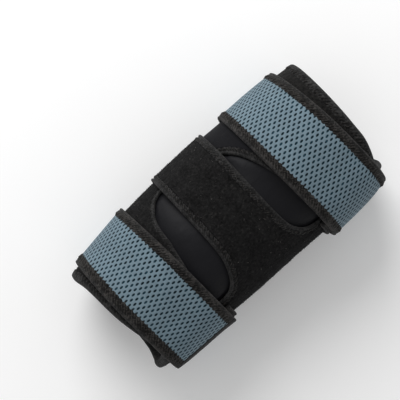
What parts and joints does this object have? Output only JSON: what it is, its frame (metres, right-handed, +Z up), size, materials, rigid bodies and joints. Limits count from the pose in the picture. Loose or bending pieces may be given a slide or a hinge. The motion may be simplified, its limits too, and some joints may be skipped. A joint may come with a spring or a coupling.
{
  "type": "elbow brace",
  "caption": "Open-ended wrap-around elbow sleeve of dark foam cloth with a front tongue, two leaf-shaped windows and broad perforated mesh straps.",
  "frame": {"origin": "under the middle of the brace's outline, on the surface it rests on", "axes": "+X along the arm from the forearm end to the upper-arm end, +Z up through the front with the windows, +Y toward the side the tongue passes over"},
  "size_m": [0.2026, 0.11, 0.0931],
  "materials": {
    "sleeve_cloth": "smooth knitted facing on foam, faint sheen",
    "pile_cloth": "brushed loop pile, matt",
    "smooth_cloth": "fine knit, matt",
    "edge_binding": "woven twill tape with overlock stitches",
    "stitched_edging": "overlock stitched edge",
    "strap_mesh": "air mesh with rows of small oval holes",
    "hook_tape": "fine hook tape, matt"
  },
  "bodies": {
    "root": {"sleeve": "sleeve_cloth", "lower_end_binding": "edge_binding", "upper_end_binding": "edge_binding", "front_panel": "pile_cloth", "lower_panel_edging": "stitched_edging", "upper_panel_edging": "stitched_edging", "tongue_end": "hook_tape", "lower_wing": "pile_cloth", "lower_wing_edging": "stitched_edging", "upper_wing": "smooth_cloth", "upper_wing_edging": "stitched_edging", "lower_strap": "strap_mesh", "lower_strap_forearm_binding": "edge_binding", "lower_strap_shoulder_binding": "edge_binding", "lower_strap_end": "hook_tape", "upper_strap": "strap_mesh", "upper_strap_forearm_binding": "edge_binding", "upper_strap_shoulder_binding": "edge_binding", "upper_strap_end": "hook_tape"}
  },
  "joints": []
}
